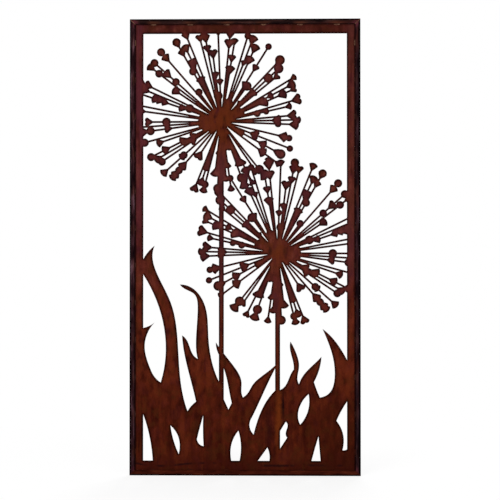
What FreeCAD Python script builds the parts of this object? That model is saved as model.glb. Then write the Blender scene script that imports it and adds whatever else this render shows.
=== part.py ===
import FreeCAD, Part

import math
import os

from FreeCAD import Rotation, Vector

# Decorative garden screen: a laser-cut steel sheet of globe flowers and grass, tack welded inside a frame
# of mitred square tube. Millimetres, +Z up. The origin is on the floor under the middle of the frame, and
# the front of the screen faces -Y.

# Frame
screen_width = 910.0
screen_height = 1800.0
tube_size = 20.0
tube_wall = 1.6
tube_inner_radius = 0.9
mitre_weld_width = 3.0

# Sheet, let into the frame behind its front face, with a plain border round the cut window. An opening whose
# mean width is less than the narrowest cut stays uncut.
sheet_thickness = 2.0
sheet_setback = 9.0
sheet_clearance = 0.15
side_border = 33.0
end_border = 37.0
narrowest_cut = 2.2

# Tack welds between the sheet's front and the inner face of the tubes, at most one pitch apart
tack_pitch = 150.0
tack_length = 24.0
tack_leg = 5.0

# Flowers: a stem, a hub and florets spread evenly over three balls, one inside the other, and pressed flat.
# The balls lie a little above the hub and to one side of it. The florets sit on stalks along spokes, which
# wander from their even spacing by a share of it.
tall_flower_height = 1338.0
short_flower_height = 818.0
stem_width = 19.5
hub_radius = 29.5
spoke_count = 69
spoke_wander = 0.4
stalk_width = 7.8
globe_lift = 46.0
globe_lean = 16.0
globe_unevenness = 0.05
floret_size_spread = 0.43
outer_radius = 312.0
outer_florets = 123
outer_floret_width = 38.0
middle_radius = 211.0
middle_florets = 11
middle_floret_width = 35.0
inner_radius = 86.0
inner_florets = 3
inner_floret_width = 28.0
floret_kinds = ["bell", "knob", "bell", "pair"]

# Shape of a floret in shares of its width: how high its crown and its brim stand above the stalk, and how
# far the two crowns of a pair stand out from the middle. The dip between them is a share of the crown.
crown_share = 0.85
brim_share = 0.6
pair_share = 0.28
dip_share = 0.9

# Places in the drawing of the sheet: across in percent of the window's width from its left edge, and up in
# percent of the grass height from its bottom edge
grass_height = 848.0
tall_stem_across = 38.4
short_stem_across = 66.0

# How far a drawn shape runs under the border, so that the two are one sheet
border_lap = 8.0

# Outline of the grass from the left border to the right one. Each row is one edge of a blade, a smooth
# curve through its points, and the rows meet at the tips and in the notches between the blades. Points
# outside 0 to 100 percent across, or below 0 up, lie under the border.
grass_edges = [
    [(-1, 61.5), (2.5, 62.4), (5.6, 64.2)],
    [(5.6, 64.2), (2, 59), (0.7, 53.5), (2.9, 44), (5.5, 39), (8.6, 36.3)],
    [(8.6, 36.3), (10.2, 42.4), (11.1, 54), (9.1, 67), (3.4, 81), (-1, 88)],
    [(-1, 88), (-1, 91.5)],
    [(-1, 91.5), (0.8, 95), (5.6, 100)],
    [(5.6, 100), (4.5, 95), (6.2, 88.2), (13.5, 73.5), (17.1, 53), (19.6, 30), (21.8, 23)],
    [(21.8, 23), (23.7, 25.5), (26, 27.4)],
    [(26, 27.4), (22, 42.4), (20, 51), (19.1, 58.2)],
    [(19.1, 58.2), (22.4, 54), (24, 50), (26.8, 47.3)],
    [(26.8, 47.3), (26, 57), (26.8, 70), (25, 77.5), (20.5, 79.8), (18, 81.9)],
    [(18, 81.9), (24.5, 80), (30.2, 72.4), (32, 58), (34.8, 42.4), (37.4, 36.5)],
    [(37.4, 36.5), (tall_stem_across, 47.5)],
    [(tall_stem_across, 47.5), (36.2, 51.5), (35.7, 55)],
    [(35.7, 55), (tall_stem_across, 51.3), (44.8, 43.5), (48.3, 36.5), (48.3, 31.5), (49, 29.4)],
    [(49, 29.4), (51.6, 31.7), (53.6, 35), (59, 39.8), (short_stem_across, 45.5)],
    [(short_stem_across, 45.5), (short_stem_across, 32.6)],
    [(short_stem_across, 32.6), (70.2, 35.4), (71.9, 39), (73.9, 42.4)],
    [(73.9, 42.4), (73.2, 47.5), (72, 53), (72.3, 55.4)],
    [(72.3, 55.4), (75.4, 49.3), (76.5, 43.5), (75.7, 38), (76.5, 35.6)],
    [(76.5, 35.6), (77.8, 38.5), (82.8, 44), (87.5, 48.4)],
    [(87.5, 48.4), (86.7, 43.5), (83.8, 36.6)],
    [(83.8, 36.6), (85.2, 32.8), (86.7, 29.4)],
    [(86.7, 29.4), (92.1, 32.4), (94, 40), (92.6, 50), (88, 61.3)],
    [(88, 61.3), (91.8, 58.2), (98.2, 50), (101, 45)],
    [(101, 45), (101, -2)],
    [(101, -2), (-1, -2)],
    [(-1, -2), (-1, 61.5)],
]

# Slits between the blades low down in the grass, drawn the same way. Those at a stem or at the window's
# edge run on behind it.
grass_slits = [
    [[(-1, 24), (3, 12), (4.8, -2)], [(4.8, -2), (-1, -2)], [(-1, -2), (-1, 24)]],
    [[(13.4, 16.4), (16.7, 12.4), (17.5, 3)], [(17.5, 3), (14.9, 9.5), (13.4, 16.4)]],
    [
        [(29.5, 21), (27.6, 14.5), (26.4, 9.9)],
        [(26.4, 9.9), (27.7, 7.6), (29.7, 6.7)],
        [(29.7, 6.7), (29.4, 14), (29.5, 21)],
    ],
    [
        [(tall_stem_across, 45.5), (41, 38.5), (42.4, 31.7), (43.5, 26.8)],
        [(43.5, 26.8), (41.9, 23.8)],
        [(41.9, 23.8), (tall_stem_across, 31)],
        [(tall_stem_across, 31), (tall_stem_across, 45.5)],
    ],
    [
        [(46.8, 14), (44.2, 10), (43.8, -2)],
        [(43.8, -2), (46.8, -2)],
        [(46.8, -2), (48, 7.5), (46.8, 14)],
    ],
    [
        [(short_stem_across, 45), (61.7, 37), (57, 27.3), (53.6, 20.5)],
        [(53.6, 20.5), (52.2, 16.5), (54.2, 12.2)],
        [(54.2, 12.2), (56.3, 19.1), (60.9, 28.2), (short_stem_across, 33.7)],
        [(short_stem_across, 33.7), (short_stem_across, 45)],
    ],
    [[(61, 6.2), (54.8, -2)], [(54.8, -2), (61.5, -2)], [(61.5, -2), (61.8, 4), (61, 6.2)]],
    [
        [(70, 18.2), (70.9, 16.4), (70, 13.2), (70.7, 10.8)],
        [(70.7, 10.8), (short_stem_across, 4)],
        [(short_stem_across, 4), (short_stem_across, 12)],
        [(short_stem_across, 12), (70, 18.2)],
    ],
    [
        [(81.2, 31), (77.7, 27), (76, 20.1), (77.1, 16.8)],
        [(77.1, 16.8), (80.6, 22.4), (81.2, 31)],
    ],
    [[(86, 11.4), (84.3, 6), (82, -2)], [(82, -2), (87.2, -2)], [(87.2, -2), (86, 11.4)]],
    [
        [(101, 29), (97, 23), (94.8, 18.7)],
        [(94.8, 18.7), (98.2, 11.7), (97.7, 5)],
        [(97.7, 5), (99, 5), (101, 8)],
        [(101, 8), (101, 29)],
    ],
]

# Worked out from the sizes above
golden_angle = math.pi * (3 - math.sqrt(5))
golden_share = (math.sqrt(5) - 1) / 2
spoke_step = 2 * math.pi / spoke_count
tube_outer_radius = tube_inner_radius + tube_wall
sheet_front = -tube_size / 2 + sheet_setback
window_width = screen_width - 2 * (tube_size + side_border)
window_left = -window_width / 2
window_bottom = tube_size + end_border
window_top = screen_height - window_bottom
mitre_gap = mitre_weld_width / math.sqrt(2)

half_width = screen_width / 2
half_height = screen_height / 2

# The four sides of the frame: the name of the tube, its length, the middle of its outer face in X and Z, and
# how many degrees it is turned from the top rail
frame_sides = {
    "top": dict(tube="top_rail", length=screen_width, middle=(0, screen_height), turn=0),
    "right": dict(tube="right_stile", length=screen_height, middle=(half_width, half_height), turn=90),
    "bottom": dict(tube="bottom_rail", length=screen_width, middle=(0, 0), turn=180),
    "left": dict(tube="left_stile", length=screen_height, middle=(-half_width, half_height), turn=270),
}


def on_side(shape, side):
    """Copy of a shape drawn on a top rail whose outer face is at z = 0, moved to a side of the frame."""
    x, z = frame_sides[side]["middle"]
    turned = Rotation(Vector(0, 1, 0), frame_sides[side]["turn"])
    moved = shape.copy()
    moved.Placement = FreeCAD.Placement(Vector(x, 0, z), turned)
    return moved


def rounded_bar(length, side, radius):
    """Square bar along X, centred in X and Y, with its long edges rounded and its middle line at z = 0."""
    bar = Part.makeBox(length, side, side, Vector(-length / 2, -side / 2, -side / 2))
    long_edges = [edge for edge in bar.Edges if edge.BoundBox.XLength > side]
    return bar.makeFillet(radius, long_edges)


def mitred_tube(length, end_gap):
    """Square tube with its outer face at z = 0 and its ends mitred, short of the corners by end_gap."""
    outer = rounded_bar(length, tube_size, tube_outer_radius)
    inner = rounded_bar(length, tube_size - 2 * tube_wall, tube_outer_radius - tube_wall)
    tube = outer.cut(inner)
    tube.translate(Vector(0, 0, -tube_size / 2))
    outer_half = length / 2 - end_gap
    inner_half = outer_half - tube_size
    corners = [(-outer_half, 0), (outer_half, 0), (inner_half, -tube_size), (-inner_half, -tube_size)]
    outline = [Vector(x, -tube_size / 2, z) for x, z in corners]
    mitre = Part.Face(Part.makePolygon(outline + outline[:1])).extrude(Vector(0, tube_size, 0))
    return tube.common(mitre)


def frame_pieces():
    """The four tubes, and at each corner the weld that fills the gap between two mitres."""
    pieces = {}
    weld_halves = []
    for side, place in frame_sides.items():
        tube = on_side(mitred_tube(place["length"], mitre_gap), side)
        pieces[place["tube"]] = tube.Solids[0]
        weld_halves += on_side(mitred_tube(place["length"], 0), side).cut(tube).Solids
    for vertical, z in (("top", screen_height), ("bottom", 0)):
        for horizontal, x in (("left", -half_width), ("right", half_width)):
            corner = Vector(x, 0, z)
            weld_halves.sort(key=lambda half: half.CenterOfMass.distanceToPoint(corner))
            weld = weld_halves[0].fuse(weld_halves[1]).removeSplitter()
            pieces[f"mitre_weld_{vertical}_{horizontal}"] = weld.Solids[0]
    return pieces


def tack_weld():
    """Rounded bead in the corner between the inner face of a top rail and the front of the sheet."""
    corner = Vector(0, sheet_front, -tube_size)
    straight = tack_length - 2 * tack_leg
    bead = Part.makeCylinder(tack_leg, straight, corner - Vector(straight / 2, 0, 0), Vector(1, 0, 0))
    for end in (-1, 1):
        bead = bead.fuse(Part.makeSphere(tack_leg, corner + Vector(end * straight / 2, 0, 0)))
    room_corner = corner - Vector(tack_length / 2, tack_leg, tack_leg)
    room = Part.makeBox(tack_length, tack_leg, tack_leg, room_corner)
    return bead.removeSplitter().common(room)


def tack_welds():
    """Beads along all four seams, evenly spaced, each seam with as many as its length asks for."""
    pieces = {}
    bead = tack_weld().Solids[0]
    for side, place in frame_sides.items():
        seam = place["length"] - 2 * tube_size
        count = math.ceil(seam / tack_pitch)
        for number in range(count):
            along = (number + 0.5) * seam / count - seam / 2
            shifted = Part.makeCompound([bead.translated(Vector(along, 0, 0))])
            pieces[f"tack_weld_{side}_{number + 1}"] = on_side(shifted, side).Solids[0]
    return pieces


def drawn_point(across, up):
    """Point of the sheet's drawing, in the plane y = 0."""
    x = window_left + across / 100 * window_width
    z = window_bottom + up / 100 * grass_height
    return Vector(x, 0, z)


def drawn_face(edges):
    """Face inside a closed outline, whose edges are lines between two points or curves through more."""
    curves = []
    for row in edges:
        points = [drawn_point(across, up) for across, up in row]
        if len(points) == 2:
            curves.append(Part.makeLine(*points))
        else:
            curve = Part.BSplineCurve()
            curve.interpolate(points)
            curves.append(curve.toShape())
    return Part.Face(Part.Wire(curves))


def rectangle(left, right, bottom, top):
    """Face in the plane y = 0."""
    corners = [(left, bottom), (left, top), (right, top), (right, bottom), (left, bottom)]
    return Part.Face(Part.makePolygon([Vector(x, 0, z) for x, z in corners]))


def disc(centre, radius):
    """Round face in the plane y = 0."""
    return Part.Face(Part.Wire(Part.makeCircle(radius, centre, Vector(0, 1, 0))))


def floret(kind, width):
    """Face of one floret, a knob, a bell or a pair of bells, on top of a stalk that ends at the origin."""
    left = Vector(-stalk_width / 2, 0, 0)
    right = Vector(stalk_width / 2, 0, 0)
    crown = Vector(0, 0, crown_share * width)
    brim_left = Vector(-width / 2, 0, brim_share * width)
    brim_right = Vector(width / 2, 0, brim_share * width)
    if kind == "knob":
        edges = [Part.Arc(left, crown, right).toShape()]
    else:
        edges = [Part.makeLine(left, brim_left), Part.makeLine(brim_right, right)]
    if kind == "bell":
        edges.insert(1, Part.Arc(brim_left, crown, brim_right).toShape())
    if kind == "pair":
        dip = crown * dip_share
        aside = Vector(pair_share * width, 0, 0)
        edges.insert(1, Part.Arc(brim_left, crown - aside, dip).toShape())
        edges.insert(2, Part.Arc(dip, crown + aside, brim_right).toShape())
    return Part.Face(Part.Wire(edges + [Part.makeLine(right, left)]))


def floret_layer(radius, count, width):
    """Spoke, distance from the hub, width and kind of each floret spread evenly over one ball."""
    places = []
    middle = Vector(-globe_lean, 0, globe_lift) * (radius / outer_radius)
    for index in range(count):
        height = 1 - (2 * index + 1) / count
        side = math.sqrt(1 - height ** 2) * math.cos(index * golden_angle)
        uneven = (index * golden_share) % 1
        end = middle + Vector(side, 0, height) * radius * (1 - globe_unevenness * uneven)
        spoke = round(math.atan2(end.x, end.z) / spoke_step) % spoke_count
        size = width * (1 + floret_size_spread * (uneven - 0.5))
        kind = floret_kinds[index % len(floret_kinds)]
        places.append(dict(spoke=spoke, distance=end.Length, width=size, kind=kind))
    return places


def flower_head():
    """Face of one globe of florets, with its hub at the origin."""
    places = floret_layer(outer_radius, outer_florets, outer_floret_width)
    places += floret_layer(middle_radius, middle_florets, middle_floret_width)
    places += floret_layer(inner_radius, inner_florets, inner_floret_width)
    shapes = [disc(Vector(0, 0, 0), hub_radius)]
    for number in range(spoke_count):
        on_spoke = [place for place in places if place["spoke"] == number]
        drawn = []
        for place in on_spoke:
            shape = floret(place["kind"], place["width"])
            drawn.append(shape.translated(Vector(0, 0, place["distance"])))
        if on_spoke:
            length = max(place["distance"] for place in on_spoke) + stalk_width
            drawn.append(rectangle(-stalk_width / 2, stalk_width / 2, hub_radius - stalk_width, length))
        wander = spoke_wander * (2 * ((number * golden_share) % 1) - 1)
        for shape in drawn:
            shape.rotate(Vector(0, 0, 0), Vector(0, 1, 0), math.degrees((number + wander) * spoke_step))
        shapes += drawn
    return merged(shapes)


def merged(faces):
    """The one face that overlapping faces make together, with openings that are too narrow to cut filled."""
    joined = faces[0].multiFuse(faces[1:]).removeSplitter()
    face = max(joined.Faces, key=lambda item: item.Area)
    cuts = [wire for wire in face.Wires if not wire.isSame(face.OuterWire)]
    wide_cuts = [wire for wire in cuts if 2 * Part.Face(wire).Area / wire.Length > narrowest_cut]
    return Part.Face([face.OuterWire] + wide_cuts)


def cut_sheet():
    """The sheet with everything between its border, flowers and grass cut away."""
    edge = sheet_clearance + tube_size
    outside = rectangle(edge - half_width, half_width - edge, edge, screen_height - edge)
    window = rectangle(window_left, -window_left, window_bottom, window_top)
    lap_left = window_left - border_lap
    lap_bottom = window_bottom - border_lap
    lapped = rectangle(lap_left, -lap_left, lap_bottom, window_top + border_lap)
    shapes = outside.cut(window).Faces
    shapes += drawn_face(grass_edges).cut([drawn_face(slit) for slit in grass_slits]).Faces
    head = flower_head()
    mirrored = head.mirror(Vector(0, 0, 0), Vector(1, 0, 0)).reversed()
    for shape, across, height in (
        (head, tall_stem_across, tall_flower_height),
        (mirrored, short_stem_across, short_flower_height),
    ):
        hub = drawn_point(across, 0) + Vector(0, 0, height)
        shapes += shape.translated(hub).common(lapped).Faces
        shapes.append(rectangle(hub.x - stem_width / 2, hub.x + stem_width / 2, lap_bottom, hub.z))
    sheet = merged(shapes).extrude(Vector(0, sheet_thickness, 0))
    sheet.translate(Vector(0, sheet_front, 0))
    return sheet


def main():
    os.makedirs("parts", exist_ok=True)
    pieces = frame_pieces()
    pieces["cut_sheet"] = cut_sheet()
    pieces.update(tack_welds())
    for name, shape in pieces.items():
        shape.exportStep(f"parts/{name}.step")
        box = shape.BoundBox
        size = f"{box.XLength:.1f} x {box.YLength:.1f} x {box.ZLength:.1f} mm"
        print(f"{name}: {len(shape.Solids)} solid, {shape.Volume / 1000:.2f} cm3, {size}")


main()
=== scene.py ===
# %% [markdown]
# This lesson dresses a garden screen: one sheet of steel, cut with two globe flowers and grass, held in a
# frame of square tube and left out to rust. The construction comes from a CAD model at its real size, in
# metres, and its pieces stay where they are. Blender adds what the weather and the welder left on it: the
# rust of the sheet, the dark skin of the tubes and the ripples of the tack welds.

# %% Load the screen
import math
import random

import bpy
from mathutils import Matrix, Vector


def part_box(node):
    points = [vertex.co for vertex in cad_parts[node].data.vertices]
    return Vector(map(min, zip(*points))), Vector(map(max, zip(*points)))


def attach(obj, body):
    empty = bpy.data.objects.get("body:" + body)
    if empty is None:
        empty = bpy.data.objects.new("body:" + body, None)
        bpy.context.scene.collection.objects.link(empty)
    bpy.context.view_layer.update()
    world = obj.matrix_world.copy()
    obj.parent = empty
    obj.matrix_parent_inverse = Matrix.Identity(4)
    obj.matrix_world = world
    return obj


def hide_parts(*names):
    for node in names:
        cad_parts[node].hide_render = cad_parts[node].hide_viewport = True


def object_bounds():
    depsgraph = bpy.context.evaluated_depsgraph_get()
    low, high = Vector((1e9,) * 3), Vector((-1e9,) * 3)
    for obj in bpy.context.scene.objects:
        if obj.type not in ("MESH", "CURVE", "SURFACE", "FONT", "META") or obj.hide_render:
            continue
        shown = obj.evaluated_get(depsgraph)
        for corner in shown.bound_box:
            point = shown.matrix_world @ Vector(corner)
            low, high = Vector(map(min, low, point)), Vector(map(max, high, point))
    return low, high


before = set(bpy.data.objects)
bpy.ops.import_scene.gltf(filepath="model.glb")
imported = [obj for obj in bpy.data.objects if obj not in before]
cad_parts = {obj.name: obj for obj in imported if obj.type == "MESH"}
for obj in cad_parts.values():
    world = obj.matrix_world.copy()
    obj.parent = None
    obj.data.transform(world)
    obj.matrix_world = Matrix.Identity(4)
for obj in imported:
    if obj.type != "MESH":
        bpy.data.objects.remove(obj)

screen_low, screen_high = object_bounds()
screen_size = screen_high - screen_low
sheet_low, sheet_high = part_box("cut_sheet")
print("loaded", len(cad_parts), "pieces, screen of", [round(side, 3) for side in screen_size], "m")

# %% [markdown]
# The photograph looks straight at the front, a hair from the right and from below, and hardly shows the
# inner sides of the tubes. A short lens close by would frame the screen too, but it would show those
# sides, so a long lens stands four metres away. The width that the picture takes in at the screen follows
# from the size of one pixel, and the lens follows from that width.

# %% Camera
picture_pixels = 500
metres_per_pixel = 0.003937
camera_distance = 4.0
camera_azimuth = math.radians(0.87)
camera_elevation = math.radians(-0.48)
camera_aim = Vector((0.02, screen_low.y, 0.8876))
sensor_width = 36.0

camera_back = Vector((
    math.sin(camera_azimuth) * math.cos(camera_elevation),
    -math.cos(camera_azimuth) * math.cos(camera_elevation),
    math.sin(camera_elevation),
))
bpy.ops.object.select_all(action="DESELECT")
bpy.ops.object.camera_add(
    location=camera_aim + camera_back * camera_distance,
    rotation=(math.pi / 2 - camera_elevation, 0, camera_azimuth),
)
camera = bpy.context.object
camera.data.sensor_width = sensor_width
camera.data.lens = sensor_width * camera_distance / (picture_pixels * metres_per_pixel)
bpy.context.scene.camera = camera
print("camera lens", round(camera.data.lens, 1), "mm")

# %% [markdown]
# Matt rust wants broad, soft light. Bare lamps would throw a hard shadow of every stalk, so two large
# softboxes stand in front, one higher than the other, and a third behind, so that the back can be looked
# at too. Their power is set so that a colour comes out about as it is written.

# %% Softboxes
softbox_aim = Vector((0, 0, screen_size.z / 2))
softbox_width = 2.2
softboxes = {
    "key_softbox": {"at": Vector((-1.9, -3.3, 2.3)), "power": 92},
    "fill_softbox": {"at": Vector((2.2, -3.4, 1.2)), "power": 60},
    "back_softbox": {"at": Vector((0.9, 3.4, 2.2)), "power": 110},
}
for name, box in softboxes.items():
    bpy.ops.object.light_add(type="AREA", location=box["at"])
    lamp = bpy.context.object
    lamp.name = name
    lamp.rotation_euler = (softbox_aim - box["at"]).to_track_quat("-Z", "Y").to_euler()
    lamp.data.size = softbox_width
    lamp.data.energy = box["power"]
print("lit by", ", ".join(softboxes))

# %% [markdown]
# The screen stands in a white room without walls. A plain white world would look right, but its light
# from all sides would wash the rust out. So the kind of ray decides: the world is white where the camera,
# a reflection or glass looks at it, and a dim grey where it lights the screen. One small helper adds
# every node of this lesson, with its settings, values and links.

# %% White room
ambient_strength = 0.18
plain_white = (1, 1, 1, 1)


def add_node(tree, kind, values=None, links=None, **settings):
    """One node of a kind, with its settings, its socket values and the outputs linked to its sockets."""
    node = tree.nodes.new(kind)
    for setting, value in settings.items():
        setattr(node, setting, value)
    for socket, value in (values or {}).items():
        node.inputs[socket].default_value = value
    for socket, output in (links or {}).items():
        tree.links.new(output, node.inputs[socket])
    return node


def seen_directly(tree):
    """1 for rays of the camera, of reflections and of glass, and 0 for rays that light the object."""
    path = add_node(tree, "ShaderNodeLightPath")
    seen = path.outputs["Is Camera Ray"]
    for ray in ("Is Glossy Ray", "Is Transmission Ray"):
        rays = {0: seen, 1: path.outputs[ray]}
        seen = add_node(tree, "ShaderNodeMath", operation="MAXIMUM", links=rays).outputs[0]
    return seen


bpy.context.scene.view_settings.view_transform = "Standard"
world = bpy.data.worlds.new("studio")
world.use_nodes = True
bpy.context.scene.world = world
room = world.node_tree
room.nodes.clear()
bright = add_node(room, "ShaderNodeBackground", {"Color": plain_white, "Strength": 1.0})
dim = add_node(room, "ShaderNodeBackground", {"Color": plain_white, "Strength": ambient_strength})
walls = {0: seen_directly(room), 1: dim.outputs[0], 2: bright.outputs[0]}
chosen = add_node(room, "ShaderNodeMixShader", links=walls)
add_node(room, "ShaderNodeOutputWorld", links={"Surface": chosen.outputs[0]})
print("white room of", len(room.nodes), "nodes")

# %% [markdown]
# A finish is made of numbers that vary over a surface, such as a height or the strength of a stain. Every
# sum on them could be a node placed by hand. Three helpers keep the later cells short: a sum of two
# numbers, a product of several, and a smooth rise that turns any number into a soft mask from 0 to 1.
# Where a mask follows places on the screen, they are kept as a pair: where it starts and where it is
# full.

# %% Sums and soft masks


def maths(tree, operation, first, second=0.0):
    """One sum on two numbers, each an output of a node or a plain value."""
    node = add_node(tree, "ShaderNodeMath", operation=operation)
    for socket, value in enumerate((first, second)):
        if isinstance(value, (int, float)):
            node.inputs[socket].default_value = value
        else:
            tree.links.new(value, node.inputs[socket])
    return node.outputs[0]


def times(tree, *values):
    """Product of several numbers."""
    product = values[0]
    for value in values[1:]:
        product = maths(tree, "MULTIPLY", product, value)
    return product


def rising(tree, value, low, high, top=1.0, bottom=0.0):
    """The bottom below low, the top above high, smooth between. A low above the high gives a fall."""
    node = add_node(
        tree,
        "ShaderNodeMapRange",
        {"From Min": low, "From Max": high, "To Min": bottom, "To Max": top},
        {"Value": value},
        interpolation_type="SMOOTHSTEP",
    )
    return node.outputs[0]


print("masks ready")

# %% [markdown]
# The floor is a plain white disc. A matt white one would look grey beside the white room, and a glowing
# one would lose the shadow under the screen. So part of what the camera sees close to the screen is matt,
# which keeps the soft shadow, and the rest is topped up to white. Further out the floor fades into the
# room, so that no horizon shows.

# %% Floor
floor_radius = 12.0
floor_sides = 96
floor_paint_colour = (0.85, 0.85, 0.85, 1)
floor_lit = 0.64
shadow_reach = 1.6
shadow_share = 0.3

bpy.ops.object.select_all(action="DESELECT")
bpy.ops.mesh.primitive_circle_add(vertices=floor_sides, radius=floor_radius, fill_type="NGON")
floor = bpy.context.object
floor.name = "floor"
bpy.ops.object.transform_apply(location=True, rotation=True, scale=True)

floor_paint = bpy.data.materials.new("white_floor")
floor_paint.use_nodes = True
tree = floor_paint.node_tree
tree.nodes.clear()
floor_place = add_node(tree, "ShaderNodeTexCoord").outputs["Object"]
away = add_node(tree, "ShaderNodeVectorMath", operation="LENGTH", links={0: floor_place})
matt_share = rising(tree, away.outputs["Value"], shadow_reach, 0.0, top=shadow_share)
seen = seen_directly(tree)
matt = add_node(tree, "ShaderNodeBsdfDiffuse", {"Color": floor_paint_colour})
held_back = times(tree, seen, maths(tree, "SUBTRACT", 1.0, matt_share))
matt_part = add_node(tree, "ShaderNodeMixShader", links={0: held_back, 1: matt.outputs[0]})
top_up = times(tree, seen, maths(tree, "SUBTRACT", 1.0, times(tree, matt_share, floor_lit)))
glow = add_node(tree, "ShaderNodeEmission", {"Color": plain_white}, {"Strength": top_up})
laid = add_node(tree, "ShaderNodeAddShader", links={0: matt_part.outputs[0], 1: glow.outputs[0]})
add_node(tree, "ShaderNodeOutputMaterial", links={"Surface": laid.outputs[0]})
floor.data.materials.append(floor_paint)
print("floor of", 2 * floor_radius, "m across")

# %% [markdown]
# A finish starts as a new material, with its shader and the place of each point on the piece. Pictures of
# rust could be wrapped round the pieces, but they blur close up and show a seam at each edge. So the
# patterns are noise worked out from the place itself: cloudy patches of a size in metres, which can be
# drawn out into streaks.

# %% Start a finish


def new_finish(name, gloss):
    """A material with its shader, and the place on the object that its patterns follow."""
    material = bpy.data.materials.new(name)
    material.use_nodes = True
    tree = material.node_tree
    shader = tree.nodes["Principled BSDF"]
    shader.inputs["Specular IOR Level"].default_value = gloss
    place = add_node(tree, "ShaderNodeTexCoord").outputs["Object"]
    return material, tree, shader, place


def along_axes(tree, place):
    """The X and Z of a place, since the screen is flat."""
    split = add_node(tree, "ShaderNodeSeparateXYZ", links={0: place})
    return split.outputs["X"], split.outputs["Z"]


def clouds(tree, place, patch, detail=4.0, roughness=0.6, drawn_out=(1, 1, 1), offset=0.0):
    """Noise from 0 to 1 in patches of a size in metres, each drawn out along X, Y and Z by a factor."""
    mapped = add_node(
        tree,
        "ShaderNodeMapping",
        {"Location": (offset, offset, offset), "Scale": tuple(1 / factor for factor in drawn_out)},
        {"Vector": place},
    )
    noise = add_node(
        tree,
        "ShaderNodeTexNoise",
        {"Scale": 1 / patch, "Detail": detail, "Roughness": roughness},
        {"Vector": mapped.outputs[0]},
    )
    return noise.outputs["Fac"]


print("patterns ready")

# %% [markdown]
# Colours are written as they look on a screen, from 0 to 255, and turned into the linear light that the
# shader wants. Real rust is many thin layers, and one flat colour with a bump never looks like it. So it
# is painted as it grows: steps of colour that follow the clouds, and then thin glazes, each with a mask
# that says how much of it shows.

# %% Colours and glazes


def shade(red, green, blue):
    """A screen colour as linear light."""
    linear = []
    for level in (red / 255, green / 255, blue / 255):
        linear.append(level / 12.92 if level < 0.04045 else ((level + 0.055) / 1.055) ** 2.4)
    return (*linear, 1.0)


def colour_steps(tree, value, positions, colours):
    """Colours that follow a value, each with the position on it where it stands."""
    ramp = add_node(tree, "ShaderNodeValToRGB", links={0: value})
    while len(ramp.color_ramp.elements) < len(positions):
        ramp.color_ramp.elements.new(0.5)
    for element, position, colour in zip(ramp.color_ramp.elements, positions, colours):
        element.position = position
        element.color = colour
    return ramp.outputs["Color"]


def glaze(tree, under, colour, amount):
    """A colour laid over another by an amount from 0 to 1."""
    node = add_node(tree, "ShaderNodeMix", data_type="RGBA", links={0: amount, 6: under})
    if isinstance(colour, tuple):
        node.inputs[7].default_value = colour
    else:
        tree.links.new(colour, node.inputs[7])
    return node.outputs[2]


print("glazes ready")

# %% [markdown]
# The sheet has rusted as weathering steel does: maroon high up, where it dries fast, and a redder brown
# in the grass, where it stays wet. These could be two materials with a border between them, but the
# change is soft. So both rusts follow the same clouds, a broad one and a finer mottle, and the height
# mixes them.

# %% Two rusts of the sheet
rust_gloss = 0.01
dry_to_wet = (0.95, 0.35)
rust_positions = (0.38, 0.46, 0.54, 0.62)
dry_shades = (shade(48, 14, 9), shade(69, 26, 19), shade(86, 36, 28), shade(106, 52, 43))
wet_shades = (shade(50, 13, 6), shade(62, 19, 9), shade(75, 25, 12), shade(89, 34, 16))

rust, tree, shader, place = new_finish("rusted_sheet_steel", rust_gloss)
across, up = along_axes(tree, place)
broad = clouds(tree, place, 0.09, drawn_out=(1, 1, 1.8))
mottle = clouds(tree, place, 0.022, roughness=0.5, drawn_out=(1, 1, 2.2), offset=3.1)
body = maths(tree, "ADD", times(tree, broad, 0.55), times(tree, mottle, 0.45))
dry_rust = colour_steps(tree, body, rust_positions, dry_shades)
wet_rust = colour_steps(tree, body, rust_positions, wet_shades)
colour = glaze(tree, dry_rust, wet_rust, rising(tree, up, *dry_to_wet))
print("two rusts in", len(tree.nodes), "nodes")

# %% [markdown]
# Rust is never one hue: dense patches turn purple, younger ones olive, and rain draws bright and dark
# runs down the sheet. Runs could be painted stroke by stroke, but noise drawn out along the height falls
# as rain does. The border under the top rail is made darker, and the runs begin below it.

# %% Tints and rain runs
purple_up = (0.2, 0.9)
dark_top_border_up = (1.73, 1.75)
runs_up = (1.76, 1.70)
strong_runs_up = (0.35, 1.0)

tint = clouds(tree, place, 0.045, detail=2, offset=9.6)
purple = times(tree, rising(tree, tint, 0.53, 0.64, top=0.4), rising(tree, up, *purple_up, bottom=0.3))
colour = glaze(tree, colour, shade(76, 26, 33), purple)
olive = rising(tree, tint, 0.47, 0.36, top=0.45)
colour = glaze(tree, colour, shade(66, 32, 12), olive)
# the border under the top rail is made darker
colour = glaze(tree, colour, shade(50, 18, 14), rising(tree, up, *dark_top_border_up, top=0.45))
runs = clouds(tree, place, 0.02, drawn_out=(1, 1, 14), offset=5.3)
below_top = rising(tree, up, *runs_up)
bright_runs = times(tree, rising(tree, runs, 0.52, 0.70, top=0.3), below_top)
colour = glaze(tree, colour, shade(98, 42, 17), bright_runs)
run_strength = rising(tree, up, *strong_runs_up, top=0.45, bottom=0.22)
dark_runs = times(tree, rising(tree, runs, 0.47, 0.30), below_top, run_strength)
colour = glaze(tree, colour, shade(36, 13, 13), dark_runs)
print("with tints and runs", len(tree.nodes), "nodes")

# %% [markdown]
# Many stalks drain to each hub, so the rust is warm there, most of all on the tall flower, while the
# florets further out have a lilac haze. A mask could be painted round every flower, but the distance from
# the hub gives both: warm close by, hazy further out. On the short flower painted shade darkens the two
# sides of the hub, at an even distance from the stem.

# %% Hubs and florets
tall_hub = (-0.093, 1.395)
short_hub = (0.1286, 0.875)
hub_warmth_reach = {tall_hub: 0.2, short_hub: 0.08}
haze_away = (0.06, 0.18)
haze_fades_away = (0.34, 0.30)
hub_shade_band = {"across": 0.028, "half_width": 0.014, "up": short_hub[1] + 0.007, "half_height": 0.03}


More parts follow.
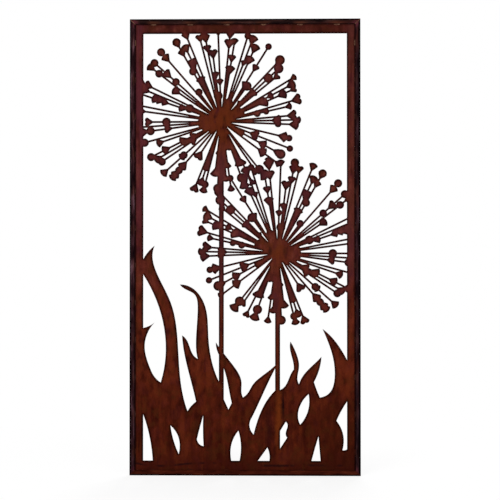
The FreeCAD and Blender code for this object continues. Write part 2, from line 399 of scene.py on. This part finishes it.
def apart(tree, first, second):
    """How far two numbers are apart."""
    return maths(tree, "ABSOLUTE", maths(tree, "SUBTRACT", first, second))


def near(tree, value, middle, reach):
    """1 where a value is at the middle, falling to 0 at the reach on either side."""
    return rising(tree, apart(tree, value, middle), reach, 0.0)


def spot(tree, across, up, band):
    """1 in the middle of a band on the sheet, falling to 0 at its sides and ends."""
    beside = near(tree, across, band["across"], band["half_width"])
    return times(tree, beside, near(tree, up, band["up"], band["half_height"]))


for hub, warm_reach in hub_warmth_reach.items():
    hub_place = {1: (hub[0], 0, hub[1])}
    distance = add_node(tree, "ShaderNodeVectorMath", hub_place, {0: place}, operation="DISTANCE")
    away = distance.outputs["Value"]
    haze = times(tree, rising(tree, away, *haze_away), rising(tree, away, *haze_fades_away, top=0.3))
    colour = glaze(tree, colour, shade(77, 38, 47), haze)
    warmth = times(tree, rising(tree, away, warm_reach, 0.0, top=0.8), rising(tree, mottle, 0.3, 0.55))
    colour = glaze(tree, colour, shade(89, 37, 14), warmth)
off_stem = apart(tree, across, short_hub[0])
# painted shade on both sides of the short hub
painted_hub_shade = times(tree, spot(tree, off_stem, up, hub_shade_band), 0.7)
colour = glaze(tree, colour, shade(44, 20, 12), painted_hub_shade)
print("with hubs and florets", len(tree.nodes), "nodes")

# %% [markdown]
# The sun has dried the middle of the screen to a brighter red, and the upper borders keep a bloom, purple
# at the left and paler at the right. The purple at the left is partly a painted tint of bluish light
# falling from the left. Straight masks would show as bands, so each one is broken up by the mottle or by
# the rain runs that are there already.

# %% Sun and bloom
sun_height = 0.55
sun_reach = 0.42
bloom_up = (0.75, 1.15)
left_bloom_and_light_across = (-0.37, -0.415)
right_bloom_across = (0.37, 0.415)

sun_dried = times(tree, near(tree, up, sun_height, sun_reach), rising(tree, mottle, 0.3, 0.6, top=0.55))
colour = glaze(tree, colour, shade(94, 36, 19), sun_dried)
bloom = times(tree, rising(tree, up, *bloom_up), rising(tree, runs, 0.3, 0.6))
# purple bloom at the left, partly a painted tint of bluish light falling from the left
left_bloom_and_light = times(tree, bloom, rising(tree, across, *left_bloom_and_light_across, top=0.8))
colour = glaze(tree, colour, shade(80, 34, 42), left_bloom_and_light)
right_bloom = times(tree, bloom, rising(tree, across, *right_bloom_across, top=0.5))
colour = glaze(tree, colour, shade(88, 44, 38), right_bloom)
print("with sun and bloom", len(tree.nodes), "nodes")

# %% [markdown]
# The sheet is darker towards its foot, and painted shade makes it darkest at the lower right. Standing
# water has left a wavy line above the bottom rail. A drawn curve would do for that, but a straight band
# that noise pushes up and down has the same uneven edge.

# %% Dark foot and water line
painted_shade_across = (0.18, 0.34)
painted_shade_up = (0.36, 0.24)
foot_dark_up = (0.12, 0.03)
water_line_height = 0.041
water_line_half_width = 0.007
water_line_sway = 0.06


def wandering(tree, value, noise, width):
    """A value that noise pushes to and fro over a width in metres."""
    return maths(tree, "ADD", value, times(tree, maths(tree, "SUBTRACT", noise, 0.5), width))


# painted shade, darkest at the lower right of the sheet
right_side = rising(tree, across, *painted_shade_across, top=0.4)
lower_right_painted_shade = times(tree, right_side, rising(tree, up, *painted_shade_up))
colour = glaze(tree, colour, shade(46, 14, 5), lower_right_painted_shade)
# darker towards the foot of the sheet
foot_dark = times(tree, rising(tree, up, *foot_dark_up, top=0.6), rising(tree, mottle, 0.35, 0.6))
colour = glaze(tree, colour, shade(52, 15, 10), foot_dark)
sway = clouds(tree, place, 0.3, detail=1, offset=6.2)
swaying_up = wandering(tree, up, sway, water_line_sway)
whole_line = near(tree, swaying_up, water_line_height, water_line_half_width)
water_line = times(tree, whole_line, rising(tree, broad, 0.46, 0.58, top=0.8))
colour = glaze(tree, colour, shade(24, 8, 11), water_line)
print("with the wet foot", len(tree.nodes), "nodes")

# %% [markdown]
# Water that comes down the short stem runs on over the grass: an orange line below the stem, a wet patch
# beside it and one black run. Each is a band round a place on the sheet, in metres, and the first two
# wander with the tint clouds, so that they aren't ruled lines.

# %% Run-off below the short stem
run_off_across = short_hub[0] + 0.002
run_off_half_width = 0.017
run_off_wander = 0.03
run_off_starts_up = (0.36, 0.27)
run_off_ends_up = (0.04, 0.2)
wet_patch = {"across": 0.092, "half_width": 0.026, "up": 0.18, "half_height": 0.19}
black_run = {"across": 0.1505, "half_width": 0.006, "up": 0.278, "half_height": 0.075}

wandering_across = wandering(tree, across, tint, run_off_wander)
run_off = times(
    tree,
    near(tree, wandering_across, run_off_across, run_off_half_width),
    rising(tree, up, *run_off_starts_up),
    rising(tree, up, *run_off_ends_up),
    rising(tree, mottle, 0.2, 0.5),
)
colour = glaze(tree, colour, shade(99, 42, 14), run_off)
wet = times(tree, spot(tree, wandering_across, up, wet_patch), 0.75)
colour = glaze(tree, colour, shade(42, 11, 11), wet)
black = times(tree, spot(tree, across, up, black_run), 0.9)
colour = glaze(tree, colour, shade(18, 6, 9), black)
print("with the run-off", len(tree.nodes), "nodes")

# %% [markdown]
# Close up the sheet has bright specks of young rust, dark pits, and dirt and painted shade along the
# frame, where the sheet sits back behind the tubes. Its cut edges are darkened black. The edges could be
# picked out by hand, but a bevel node finds them: it sees the surface as if its edges were rounded, and
# where that differs from the flat surface there is an edge. The outer rim sits in the frame, so it is
# hardly darkened.

# %% Specks, dirt and burnt edges
dirt_and_shade_gap = (0.007, 0.002)
top_dirt_and_shade_up = (0.4, 0.9)
rim_gap = (0.008, 0.014)
dark_edge_reach = 0.012
edge_turn = (0.9999, 0.9965)
bevel_samples = 12


def frame_gaps(tree, place, low, high):
    """How far a place is inside the sides of a box and inside its ends."""
    gaps = []
    for value, first, last in zip(along_axes(tree, place), (low.x, low.z), (high.x, high.z)):
        gaps.append(maths(tree, "SUBTRACT", (last - first) / 2, apart(tree, value, (first + last) / 2)))
    return gaps


def cut_edge(tree, reach):
    """1 along sharp edges, found by comparing the surface with a copy rounded over the reach."""
    rounded = add_node(tree, "ShaderNodeBevel", {"Radius": reach}, samples=bevel_samples)
    flat = add_node(tree, "ShaderNodeNewGeometry")
    normals = {0: rounded.outputs[0], 1: flat.outputs["Normal"]}
    turned = add_node(tree, "ShaderNodeVectorMath", operation="DOT_PRODUCT", links=normals)
    return rising(tree, turned.outputs["Value"], *edge_turn)


fine = clouds(tree, place, 0.0035, detail=3, offset=7.7)
specks = times(tree, rising(tree, fine, 0.66, 0.74, top=0.6), rising(tree, broad, 0.45, 0.6))
colour = glaze(tree, colour, shade(124, 72, 38), specks)
pits = rising(tree, fine, 0.36, 0.28, top=0.5)
colour = glaze(tree, colour, shade(36, 12, 10), pits)
side_gap, end_gap = frame_gaps(tree, place, sheet_low, sheet_high)
# dirt and painted shade along the frame, where the sheet sits back behind the tubes
side_dirt_and_shade = rising(tree, side_gap, *dirt_and_shade_gap, top=0.8)
top_dirt_and_shade = times(tree, rising(tree, end_gap, *dirt_and_shade_gap, top=0.4), rising(tree, up, *top_dirt_and_shade_up))
colour = glaze(tree, colour, shade(28, 8, 9), maths(tree, "MAXIMUM", side_dirt_and_shade, top_dirt_and_shade))
off_rim = rising(tree, maths(tree, "MINIMUM", side_gap, end_gap), *rim_gap, top=0.92, bottom=0.1)
# the front is darkened black along the cut edges
dark_cut_edge = times(tree, cut_edge(tree, dark_edge_reach), off_rim)
colour = glaze(tree, colour, shade(11, 1, 1), dark_cut_edge)
print("with edges", len(tree.nodes), "nodes")

# %% [markdown]
# The finished colour goes into the shader. Rust is matt, so its roughness stays high and varies with the
# mottle. Its grain could be modelled, but it is about half a millimetre deep, and a bump shows that as
# well. Every finish of the screen ends in this way, so one helper does it.

# %% Lay the rust on


def lay_on(tree, shader, colour, patch, roughness, height, depth):
    """A colour, a roughness that goes from one value to another with the patches, and relief in metres."""
    smoothest, roughest = roughness
    tree.links.new(colour, shader.inputs["Base Color"])
    tree.links.new(rising(tree, patch, 0.3, 0.7, roughest, smoothest), shader.inputs["Roughness"])
    bump = add_node(tree, "ShaderNodeBump", {"Strength": 1.0, "Distance": depth}, {"Height": height})
    tree.links.new(bump.outputs[0], shader.inputs["Normal"])


rust_roughness = (0.7, 0.95)
rust_depth = 0.0006
rust_height = maths(tree, "ADD", times(tree, fine, 0.6), times(tree, mottle, 0.4))
lay_on(tree, shader, colour, mottle, rust_roughness, rust_height, rust_depth)
print("rust has", len(tree.nodes), "nodes")

# %% [markdown]
# The tubes are darker than the sheet: mill scale, a blue-black skin from the rolling mill, still covers
# much of them and wears through to rust in patches. Black paint would be simpler, but too even. The skin
# is four shades that follow the clouds, the palest of them a painted sheen of the room reflected in the
# skin, and its streaks run along the tube, so stiles and rails draw the clouds out in different
# directions.

# %% Mill scale
skin_positions = (0.36, 0.47, 0.56, 0.68)
stile_stretch = (1, 1, 5)
rail_stretch = (5, 1, 1)


def mill_scale(tree, place, stretch, skin_and_sheen):
    """The colour of a worn, grainy skin in four shades, the palest a painted sheen, and the patches, wear
    and grain behind it.
    """
    patch = clouds(tree, place, 0.018, detail=5, drawn_out=stretch, offset=1.9)
    worn = clouds(tree, place, 0.05, drawn_out=stretch, offset=8.3)
    grain = clouds(tree, place, 0.0025, detail=2, drawn_out=stretch, offset=4.4)
    colour = colour_steps(tree, patch, skin_positions, skin_and_sheen)
    colour = glaze(tree, colour, shade(64, 27, 22), rising(tree, worn, 0.54, 0.68, top=0.7))
    colour = glaze(tree, colour, shade(18, 8, 10), rising(tree, grain, 0.42, 0.30, top=0.4))
    return colour, patch, worn, grain


print("mill scale ready")

# %% [markdown]
# The welder's heat has marked the tubes. Beside each tack weld the skin is burnt off, and at the mitres
# it has a purple tint. A mark could be painted at every weld, but the tacks stand at an even step along a
# tube, so one mask repeats at that step, and a mitre is where a place is as far from the side as from the
# end.

# %% Heat of the welds
burn_reach = 0.04
mitre_heat_gap = (0.03, 0.004)


def tack_rhythm(side, axis):
    """Place of one tack weld along a side of the frame, and the step from one to the next."""
    tacks = [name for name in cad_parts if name.startswith(f"tack_weld_{side}")]
    middles = sorted(sum(end[axis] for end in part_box(name)) / 2 for name in tacks)
    return middles[0], middles[1] - middles[0]


def tack_heat(tree, along, side, axis):
    """1 at each tack weld of a side, falling to 0 at the reach of its heat."""
    first_tack, tack_step = tack_rhythm(side, axis)
    beat = maths(tree, "DIVIDE", maths(tree, "SUBTRACT", along, first_tack), tack_step)
    off_tack = apart(tree, beat, maths(tree, "ROUND", beat))
    return rising(tree, off_tack, burn_reach / tack_step, 0.0)


def mitre_heat(tree, side_gap, end_gap):
    """Most along the mitre, falling to 0 at the reach of its heat."""
    return rising(tree, apart(tree, side_gap, end_gap), *mitre_heat_gap, top=0.85)


print("tacks at the left every", round(tack_rhythm("left", 2)[1], 3), "m")

# %% [markdown]
# Each tube has weathered in its own way. The left stile has the palest skin, with the strongest painted
# sheen, and the right stile the widest black edge, the top rail is burnt most beside its tacks, and the
# bottom rail is washed over with rust. Four materials made by hand would repeat most of their nodes, so one
# function makes them all from those few differences. Painted shade comes last: a dark seam where the sheet
# sits back behind the tube, and a black outer edge that is partly black skin and partly painted shade of
# the rounded corner.

# %% Finish each tube
tube_gloss = 0.01
tube_roughness = (0.7, 0.95)
tube_depth = 0.0004
burn_inward = (0.006, 0.016)
painted_seam_shade_inward = (0.0165, 0.019)
edge_wander = 0.006
full_black_share = 0.6
washed_positions = (0.38, 0.52, 0.66)
washed_shades = (shade(46, 13, 7), shade(66, 22, 12), shade(90, 38, 20))


def tube_finish(name, skin_and_sheen, black_and_shade_edge, burn, washed):
    """The finish of one tube, from the shades of its skin and sheen, the width of its black outer edge of
    skin and painted shade, how much rust shows beside the tack welds and how much has run down over the
    front."""
    finish, tree, shader, place = new_finish(f"{name}_mill_scale", tube_gloss)
    upright = name.endswith("stile")
    across, up = along_axes(tree, place)
    side_gap, end_gap = frame_gaps(tree, place, screen_low, screen_high)
    along, axis, inward = (up, 2, side_gap) if upright else (across, 0, end_gap)
    stretch = stile_stretch if upright else rail_stretch
    colour, patch, worn, grain = mill_scale(tree, place, stretch, skin_and_sheen)

    burnt_off = times(
        tree,
        tack_heat(tree, along, name.split("_")[0], axis),
        rising(tree, inward, *burn_inward, top=burn),
        rising(tree, patch, 0.32, 0.52),
    )
    colour = glaze(tree, colour, shade(86, 46, 31), burnt_off)
    purple_heat = times(tree, mitre_heat(tree, side_gap, end_gap), rising(tree, patch, 0.3, 0.6))
    colour = glaze(tree, colour, shade(84, 36, 44), purple_heat)

    washed_rust = colour_steps(tree, patch, washed_positions, washed_shades)
    colour = glaze(tree, colour, washed_rust, rising(tree, worn, 0.2, 0.4, top=washed))
    # painted shade in the seam where the sheet sits back behind the tube
    painted_seam_shade = rising(tree, inward, *painted_seam_shade_inward, top=0.7 * (1 - washed))
    colour = glaze(tree, colour, shade(20, 4, 6), painted_seam_shade)
    # black outer edge: partly black skin, partly painted shade of the rounded corner
    edge = wandering(tree, inward, patch, edge_wander)
    outer_black_and_shade = rising(tree, edge, black_and_shade_edge, black_and_shade_edge * full_black_share, top=0.96)
    colour = glaze(tree, colour, shade(4, 1, 2), outer_black_and_shade)
    height = maths(tree, "ADD", times(tree, grain, 0.5), times(tree, patch, 0.5))
    lay_on(tree, shader, colour, patch, tube_roughness, height, tube_depth)
    print(name, "finish has", len(tree.nodes), "nodes")
    return finish


# the palest shade of each skin is a painted sheen, strongest on the left stile
left_skin_and_sheen = (shade(11, 3, 6), shade(33, 15, 18), shade(55, 31, 36), shade(92, 64, 72))
right_skin_and_sheen = (shade(12, 5, 8), shade(30, 16, 20), shade(44, 26, 31), shade(64, 42, 48))
rail_skin_and_sheen = (shade(12, 5, 6), shade(29, 16, 15), shade(44, 25, 23), shade(68, 42, 38))
finishes = {
    "cut_sheet": rust,
    "left_stile": tube_finish("left_stile", left_skin_and_sheen, black_and_shade_edge=0.0065, burn=0.3, washed=0.0),
    "right_stile": tube_finish("right_stile", right_skin_and_sheen, black_and_shade_edge=0.010, burn=0.2, washed=0.0),
    "top_rail": tube_finish("top_rail", rail_skin_and_sheen, black_and_shade_edge=0.008, burn=0.6, washed=0.0),
    "bottom_rail": tube_finish("bottom_rail", rail_skin_and_sheen, black_and_shade_edge=0.008, burn=0.0, washed=0.95),
}

# %% [markdown]
# Weld metal is cleaner than the steel round it, so it stays paler: a grey brown with rust in the hollows.
# Bare bright metal would look new, and the steel's own rust would hide the welds. It is palest under the
# top rail, and rust has covered most of it further down and at the wet foot.

# %% Weld metal
weld_gloss = 0.02
weld_roughness = (0.6, 0.9)
weld_depth = 0.0002
dull_up = (1.75, 1.6)
rusty_up = (0.3, 0.05)
weld_positions = (0.34, 0.5, 0.68)
weld_shades = (shade(60, 34, 27), shade(94, 62, 47), shade(126, 96, 78))

weld_metal, tree, shader, place = new_finish("weathered_weld_metal", weld_gloss)
up = along_axes(tree, place)[1]
patch = clouds(tree, place, 0.006)
grain = clouds(tree, place, 0.0012, detail=2, offset=2.2)
colour = colour_steps(tree, patch, weld_positions, weld_shades)
colour = glaze(tree, colour, shade(38, 20, 18), rising(tree, grain, 0.44, 0.32, top=0.5))
colour = glaze(tree, colour, shade(44, 17, 16), rising(tree, up, *dull_up, top=0.8))
colour = glaze(tree, colour, shade(58, 19, 11), rising(tree, up, *rusty_up, top=0.9))
lay_on(tree, shader, colour, patch, weld_roughness, grain, weld_depth)
print("weld metal has", len(tree.nodes), "nodes")

# %% [markdown]
# The sheet, the tubes and the ground mitre welds already have the right shape, and new meshes over them
# would only bury it. So they just change their finish: each CAD piece has one material slot, and the new
# finish goes into it.

# %% Dress the sheet and the frame
for name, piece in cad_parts.items():
    if name.startswith("mitre_weld"):
        finishes[name] = weld_metal
    if name in finishes:
        piece.material_slots[0].material = finishes[name]
print("dressed", ", ".join(sorted(finishes)))

# %% [markdown]
# A tack weld is a short row of puddles, each frozen over the edge of the one before it, so its back is
# rippled like a stack of coins. It could be one rounded bar with a bump, but the ripples also show in its
# outline. So the bead starts as a row of flattened spheres on the line where sheet and tube meet, thinner
# towards the ends, as the welder starts and stops.

# %% Row of puddles
bead_low, bead_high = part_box("tack_weld_top_1")
bead_length = bead_high.x - bead_low.x
bead_leg = bead_high.z - bead_low.z
puddle_count = 7
puddle_half_length = 0.0028
end_thinning = 0.22
thinnest_puddle = 0.94
random.seed(11)


def add_puddle(middle, radius):
    """One flattened sphere of the bead, on the line where sheet and tube meet."""
    bpy.ops.mesh.primitive_uv_sphere_add(segments=24, ring_count=14, radius=1.0, location=(middle, 0, 0))
    puddle = bpy.context.object
    puddle.scale = (puddle_half_length, radius, radius)
    bpy.ops.object.transform_apply(location=True, rotation=True, scale=True)
    return puddle


bpy.ops.object.select_all(action="DESELECT")
puddle_step = (bead_length - 2 * puddle_half_length) / (puddle_count - 1)
puddles = []
for number in range(puddle_count):
    along = number * puddle_step - bead_length / 2 + puddle_half_length
    fullness = 1 - end_thinning * abs(2 * number / (puddle_count - 1) - 1) ** 3
    puddles.append(add_puddle(along, bead_leg * fullness * random.uniform(thinnest_puddle, 1.0)))
print("row of", len(puddles), "puddles over", round(bead_length * 1000, 1), "mm")

# %% [markdown]
# The puddles have to become one solid bead. A boolean would leave sharp creases between them, so a voxel
# remesh melts them together and a smooth settles the surface. The bead is then cut along the sheet and
# along the tube, where it has fused with them. The cuts need a finer threshold than usual, because the
# bead is only a few millimetres thick.

# %% Melt and cut the bead
bead_voxel = 0.00045
cut_threshold = 1e-6
crease_angle = math.radians(40)

for puddle in puddles:
    puddle.select_set(True)
bpy.context.view_layer.objects.active = puddles[0]
bpy.ops.object.join()
bead = bpy.context.object
bead.name = "tack_bead"
melt = bead.modifiers.new("melt", "REMESH")
melt.mode = "VOXEL"
melt.voxel_size = bead_voxel
bpy.ops.object.modifier_apply(modifier="melt")
settle = bead.modifiers.new("settle", "SMOOTH")
settle.factor = 0.5
settle.iterations = 2
bpy.ops.object.modifier_apply(modifier="settle")
bpy.ops.object.mode_set(mode="EDIT")
for cut_normal in ((0, 1, 0), (0, 0, 1)):
    bpy.ops.mesh.select_all(action="SELECT")
    bpy.ops.mesh.bisect(
        plane_co=(0, 0, 0), plane_no=cut_normal, use_fill=True, clear_outer=True, threshold=cut_threshold
    )
bpy.ops.mesh.select_all(action="SELECT")
bpy.ops.mesh.normals_make_consistent(inside=False)
bpy.ops.object.mode_set(mode="OBJECT")
bpy.ops.object.shade_smooth_by_angle(angle=crease_angle)
bead.data.materials.append(weld_metal)
print("bead of", len(bead.data.polygons), "faces")

# %% [markdown]
# The same bead serves every tack. Copies that share one mesh would be lighter, but all would carry the
# same grain. So each copy has its own mesh: it is turned to its side of the frame and set into the corner
# where its CAD solid sits, and its place is then applied to the mesh, which gives every bead its own
# grain.

# %% Set the tack welds
side_turns = {"top": 0, "right": 90, "bottom": 180, "left": 270}
bead_count = 0
for name in sorted(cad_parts):
    if not name.startswith("tack_weld"):
        continue
    side = name.split("_")[2]
    low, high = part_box(name)
    middle = (low + high) / 2
    seat = Vector((middle.x, high.y, middle.z))
    if side in ("top", "bottom"):
        seat.z = high.z if side == "top" else low.z
    else:
        seat.x = high.x if side == "right" else low.x
    bpy.ops.object.select_all(action="DESELECT")
    bead.select_set(True)
    bpy.context.view_layer.objects.active = bead
    bpy.ops.object.duplicate(linked=False)
    tack = bpy.context.object
    tack.name = name.replace("tack_weld", "tack_bead")
    tack.rotation_euler = (0, math.radians(side_turns[side]), 0)
    tack.location = seat
    bpy.ops.object.transform_apply(location=True, rotation=True, scale=True)
    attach(tack, "root")
    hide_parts(name)
    bead_count += 1
bpy.data.objects.remove(bead)
print("set", bead_count, "tack welds")
